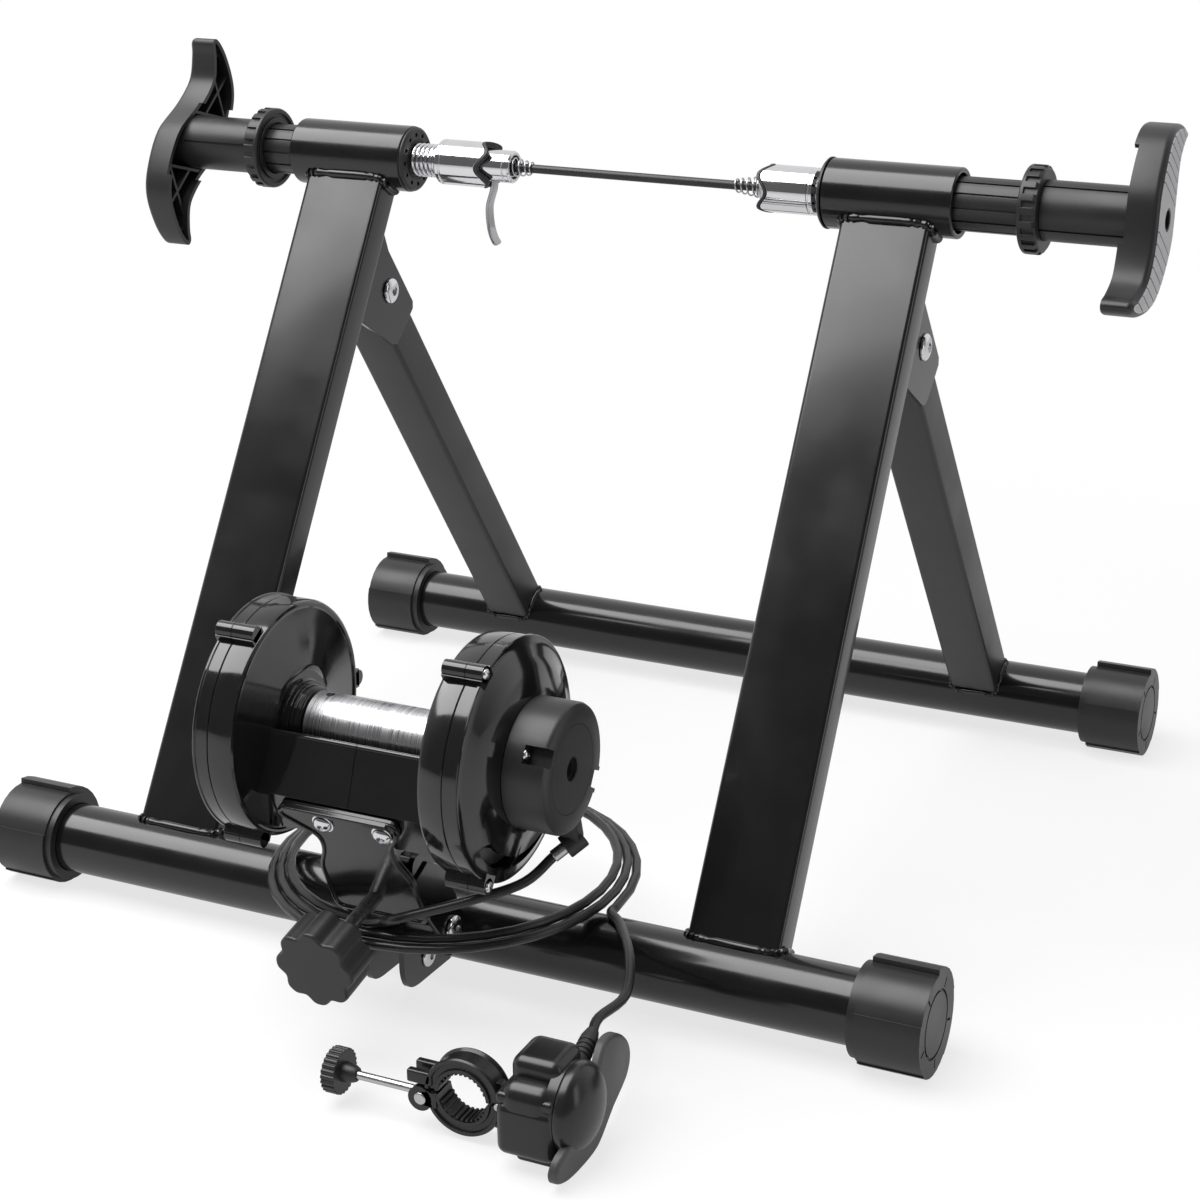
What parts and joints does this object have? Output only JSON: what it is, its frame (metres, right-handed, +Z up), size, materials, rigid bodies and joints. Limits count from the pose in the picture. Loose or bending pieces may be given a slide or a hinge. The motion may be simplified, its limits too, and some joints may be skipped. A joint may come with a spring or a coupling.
{
  "type": "wheel-on turbo trainer",
  "caption": "Folding indoor cycling stand: axle clamps hold the rear hub while the wheel turns a roller with flywheels and an adjustable magnetic brake.",
  "frame": {"origin": "on the floor, under the middle of the bounding box of everything but the cable", "axes": "+X across the stand to the brake cap side, +Y to its rear, +Z up"},
  "size_m": [0.6066, 0.6168, 0.4389],
  "materials": {
    "black_paint": "semi-gloss black powder coat",
    "gloss_plastic": "glossy black moulded plastic",
    "satin_plastic": "satin black moulded plastic",
    "rubber": "matt black",
    "chrome": "bright chrome plate",
    "steel": "zinc-plated steel",
    "brushed": "turned and brushed"
  },
  "bodies": {
    "front_frame": {"front_tube": "black_paint", "front_leg_left": "black_paint", "front_leg_right": "black_paint", "clamp_sleeve_left": "black_paint", "clamp_sleeve_right": "black_paint", "sleeve_plug_left": "satin_plastic", "sleeve_plug_right": "satin_plastic", "unit_lug": "black_paint", "lug_bolt": "steel", "pivot_bolt": "steel", "fold_bolt_left": "steel", "fold_bolt_right": "steel", "cable_lead": "rubber", "cable_coil": "rubber", "cable_tail": "rubber", "shifter_body": "satin_plastic"},
    "rear_frame": {"rear_tube": "black_paint", "rear_leg_left": "black_paint", "rear_leg_right": "black_paint"},
    "front_left_foot": {"foot_cap_front_left": "rubber"},
    "front_right_foot": {"foot_cap_front_right": "rubber"},
    "rear_left_foot": {"foot_cap_rear_left": "rubber"},
    "rear_right_foot": {"foot_cap_rear_right": "rubber"},
    "left_spindle": {"spindle_left": "satin_plastic", "cup_spring_left": "chrome"},
    "left_handle": {"handle_left": "satin_plastic"},
    "left_ring": {"lock_ring_left": "satin_plastic"},
    "left_cup": {"cup_left": "chrome", "cup_liner_left": "rubber"},
    "right_spindle": {"spindle_right": "satin_plastic", "cup_right": "chrome", "cup_liner_right": "rubber", "skewer_rod": "black_paint", "cam_housing": "chrome", "cone_spring_left": "steel", "cone_spring_right": "steel"},
    "right_handle": {"handle_right": "satin_plastic"},
    "right_ring": {"lock_ring_right": "satin_plastic"},
    "skewer_lever": {"qr_lever": "chrome"},
    "skewer_nut": {"skewer_nut": "chrome"},
    "resistance_unit": {"cradle_left": "gloss_plastic", "cradle_right": "gloss_plastic", "housing_left": "gloss_plastic", "housing_right": "gloss_plastic", "brake_cap": "satin_plastic", "bearing_left": "steel", "bearing_right": "steel", "unit_bracket": "black_paint"},
    "rotor": {"roller": "brushed", "shaft": "steel", "flywheel_left": "steel", "flywheel_right": "steel", "brake_disc": "brushed"},
    "magnets": {"magnet_carrier": "satin_plastic"},
    "knob": {"tension_knob": "satin_plastic"},
    "clamp_jaw": {"bar_jaw": "satin_plastic"},
    "clamp_bolt": {"swing_bolt": "steel"},
    "bolt_knob": {"clamp_knob": "satin_plastic"},
    "thumb_lever": {"thumb_lever": "satin_plastic"}
  },
  "joints": [
    {"name": "fold", "type": "hinge", "parent": "front_frame", "child": "rear_frame", "pos_m": [-0.008, 0.08989, 0.30035], "axis": [1, 0, 0], "range_deg": [-64, 0]},
    {"name": "turn_front_left_foot", "type": "hinge", "parent": "front_frame", "child": "front_left_foot", "pos_m": [-0.2615, -0.13211, 0.0265], "axis": [1, 0, 0], "continuous": true},
    {"name": "turn_front_right_foot", "type": "hinge", "parent": "front_frame", "child": "front_right_foot", "pos_m": [0.2455, -0.13211, 0.0265], "axis": [1, 0, 0], "continuous": true},
    {"name": "turn_rear_left_foot", "type": "hinge", "parent": "rear_frame", "child": "rear_left_foot", "pos_m": [-0.2615, 0.28089, 0.0265], "axis": [1, 0, 0], "continuous": true},
    {"name": "turn_rear_right_foot", "type": "hinge", "parent": "rear_frame", "child": "rear_right_foot", "pos_m": [0.2455, 0.28089, 0.0265], "axis": [1, 0, 0], "continuous": true},
    {"name": "left_spindle_slide", "type": "slide", "parent": "front_frame", "child": "left_spindle", "axis": [1, 0, 0], "range_m": [-0.0145, 0]},
    {"name": "left_handle_turn", "type": "hinge", "parent": "left_spindle", "child": "left_handle", "pos_m": [-0.278, 0.09239, 0.3798], "axis": [1, 0, 0], "range_deg": [-1305, 0]},
    {"name": "left_ring_turn", "type": "hinge", "parent": "left_spindle", "child": "left_ring", "pos_m": [-0.246, 0.09239, 0.3798], "axis": [1, 0, 0], "continuous": true},
    {"name": "left_cup_slide", "type": "slide", "parent": "left_spindle", "child": "left_cup", "axis": [1, 0, 0], "range_m": [-0.0015, 0], "stiffness_N_per_m": 3000, "springref_m": 0.004, "deforming": ["cup_spring_left"]},
    {"name": "right_spindle_slide", "type": "slide", "parent": "front_frame", "child": "right_spindle", "axis": [1, 0, 0], "range_m": [0, 0.0025]},
    {"name": "right_handle_turn", "type": "hinge", "parent": "right_spindle", "child": "right_handle", "pos_m": [0.267, 0.09239, 0.3798], "axis": [1, 0, 0], "range_deg": [0, 225]},
    {"name": "right_ring_turn", "type": "hinge", "parent": "right_spindle", "child": "right_ring", "pos_m": [0.235, 0.09239, 0.3798], "axis": [1, 0, 0], "continuous": true},
    {"name": "skewer_lever_turn", "type": "hinge", "parent": "right_spindle", "child": "skewer_lever", "pos_m": [-0.0847, 0.09239, 0.3798], "axis": [0, 1, 0], "range_deg": [-5, 0]},
    {"name": "skewer_nut_turn", "type": "hinge", "parent": "right_spindle", "child": "skewer_nut", "pos_m": [0.086, 0.09239, 0.3798], "axis": [1, 0, 0], "continuous": true},
    {"name": "unit_pivot", "type": "hinge", "parent": "front_frame", "child": "resistance_unit", "pos_m": [-0.008, -0.16811, 0.0425], "axis": [1, 0, 0], "range_deg": [-6, 6], "deforming": ["cable_lead"]},
    {"name": "rotor_spin", "type": "hinge", "parent": "resistance_unit", "child": "rotor", "pos_m": [-0.008, -0.18111, 0.1505], "axis": [1, 0, 0], "continuous": true},
    {"name": "magnet_turn", "type": "hinge", "parent": "resistance_unit", "child": "magnets", "pos_m": [0.078, -0.18111, 0.1505], "axis": [1, 0, 0], "range_deg": [0, 60]},
    {"name": "knob_turn", "type": "hinge", "parent": "resistance_unit", "child": "knob", "pos_m": [-0.008, -0.19411, 0.0695], "axis": [0, -0.9816, -0.1908], "range_deg": [-940, 940]},
    {"name": "jaw_hinge", "type": "hinge", "parent": "front_frame", "child": "clamp_jaw", "pos_m": [0.1023, -0.27211, 0.0225], "axis": [0, 1, 0], "range_deg": [0, 25]},
    {"name": "bolt_swing", "type": "hinge", "parent": "front_frame", "child": "clamp_bolt", "pos_m": [0.06098, -0.27211, 0.01683], "axis": [0, 1, 0], "range_deg": [0, 90]},
    {"name": "bolt_knob_turn", "type": "hinge", "parent": "clamp_bolt", "child": "bolt_knob", "pos_m": [0.012, -0.27211, 0.01683], "axis": [1, 0, 0], "continuous": true},
    {"name": "thumb_lever_turn", "type": "hinge", "parent": "front_frame", "child": "thumb_lever", "pos_m": [0.142, -0.27211, 0.029], "axis": [1, 0, 0], "range_deg": [-60, 0]}
  ],
  "couplings": [
    {"joint": "left_spindle_slide", "follows": "left_handle_turn", "m_per_rad": 0.0006366},
    {"joint": "right_spindle_slide", "follows": "right_handle_turn", "m_per_rad": 0.0006366},
    {"joint": "unit_pivot", "follows": "knob_turn", "ratio": 0.00632},
    {"joint": "magnet_turn", "follows": "thumb_lever_turn", "ratio": -1}
  ]
}
